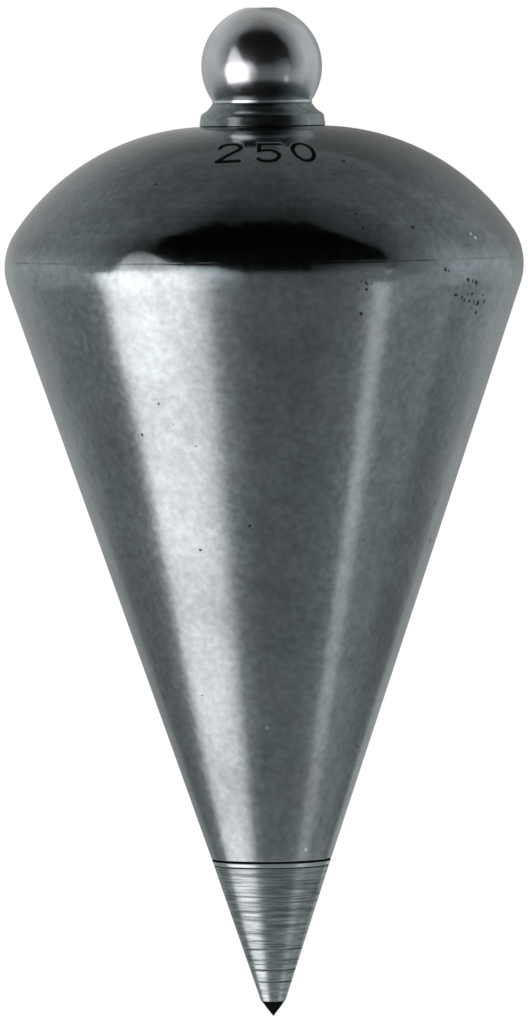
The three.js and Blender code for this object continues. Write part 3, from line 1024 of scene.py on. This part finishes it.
def buildTip():
    t = tip
    slope = (bob["seam"] - t["end"]) / t["length"]
    drill = math.tan(math.radians(bob["drillPoint"] / 2))
    boreTop = t["boreDepth"] - t["length"]
    gauge, deep = t["gaugeDrop"], t["gaugeDepth"]

    def cone(drop):
        return bob["seam"] - slope * drop

    corners = [
        (0, boreTop + t["bore"] / drill, 0),
        (t["bore"], boreTop, 0),
        (t["bore"], -t["length"], 0),
        (t["end"], -t["length"], t["endFillet"]),
        (cone(gauge + deep), -gauge - deep, t["gaugeFillet"]),
        (cone(gauge) - deep, -gauge, 0),
        (cone(gauge - deep), -gauge + deep, t["gaugeFillet"]),
        (cone(0), 0, t["seamFillet"]),
        (t["stud"], 0, 0),
        (t["stud"], t["studLength"] - t["studChamfer"], 0),
        (t["stud"] - t["studChamfer"], t["studLength"], 0),
        (0, t["studLength"], 0),
    ]
    line = [np.array((r, z + seamTop)) for r, z in filled(rounded(corners), t["rowStep"])]

    def shape(r, z, turns):
        drop = seamTop - z
        outer = r > t["bore"] + 0.02
        side = outer & (drop > 0.6) & (drop < t["length"] - 0.05)
        stud = drop < -0.05
        sunk, cut = np.zeros_like(r), np.zeros_like(r)
        for k, (at, depth, half, dark) in enumerate(t["marks"]):
            # each mark is deeper on the right and comes and goes round the tip
            strength = 0.8 + 0.2 * np.sin(turns) + 0.1 * np.sin(turns * (2 + k % 3) + 1.7 * k)
            groove = strength * np.exp(-((drop - at) / half) ** 2)
            sunk += depth * groove
            cut += dark * groove
        fade = step01(t["studLength"], t["studLength"] - t["leadIn"], -drop)
        fade = fade * step01(*t["runOut"], -drop)
        onStud = stud & (r > t["stud"] - t["studChamfer"] + 0.01)
        thread = np.where(onStud, t["threadDepth"] * threadCut(z, turns, t["pitch"]) * fade, 0)
        down, (inner, rim) = t["seamShade"]
        seamDark = step01(*down, drop) * step01(bob["seam"] - inner, bob["seam"] - rim, r)
        gaugeDark = np.exp(-((drop - gauge) / t["gaugeShade"]) ** 4) * outer
        # painted shade in the tool marks, the gauge line and on the stud, and the dark line at the
        # seam
        cut = np.where(side, cut, 0) + seamDark + gaugeDark + t["studShade"] * stud
        cut = np.clip(cut, 0, 1)
        return r - np.where(side, sunk, 0) - thread, z, cut

    return turn("Tip", line, evenTurns(t["columns"]), shape=shape)


fit(buildTip(), "tip", "tip", turnedSteel())


point = {
    "shank": 0.75, "shankLength": 5.0, "shankChamfer": 0.1, "base": 0.87, "length": 1.14,
    "bow": 0.03, "bowFillet": 0.3, "baseFillet": 0.02, "nose": 0.035,
    "columns": 96, "rowStep": 0.08,
    # finish
    "rings": {"Rings per mm": 12.0, "Wander": 1.5, "Offset": 210.0},
    "wear": {"Spot size mm": 0.12, "Cloud size mm": 0.6},
    "tones": ((0.001, 0.0012, 0.0012), (0.008, 0.009, 0.0095)),
    "rough": (0.3, 0.5), "bare": 0.4, "ringDepth": 0.003, "spread": 0.3,
}


def blackenedSteel():
    p = point
    material, tree = newMaterial("blackenedSteel")
    rings = placeGroup(tree, latheRings, p["rings"])
    wear = placeGroup(tree, mottle, p["wear"])
    colour = mixColours(tree, wear["Spots"], *p["tones"])
    rough = remap(tree, wear["Clouds"], 0, 1, *p["rough"])
    bare = remap(tree, wear["Spots"], 0.5, 1, 0, p["bare"])
    finishSteel(tree, p, colour, rough, rings["Height"], bare)
    return material


def buildPoint():
    p = point
    nose, end = p["nose"], -p["length"]
    corners = [
        (0, end, 0),
        (nose * 0.7, end + nose * 0.25, 0),
        (nose, end + nose, 0),
        (p["base"] / 2 + p["bow"], end / 2, p["bowFillet"]),
        (p["base"], 0, p["baseFillet"]),
        (p["shank"], 0, 0),
        (p["shank"], p["shankLength"] - p["shankChamfer"], 0),
        (p["shank"] - p["shankChamfer"], p["shankLength"], 0),
        (0, p["shankLength"], 0),
    ]
    line = [(r, z + tipEnd) for r, z in filled(rounded(corners), p["rowStep"])]
    return turn("Point", line, evenTurns(p["columns"]))


fit(buildPoint(), "point", "tip", blackenedSteel())
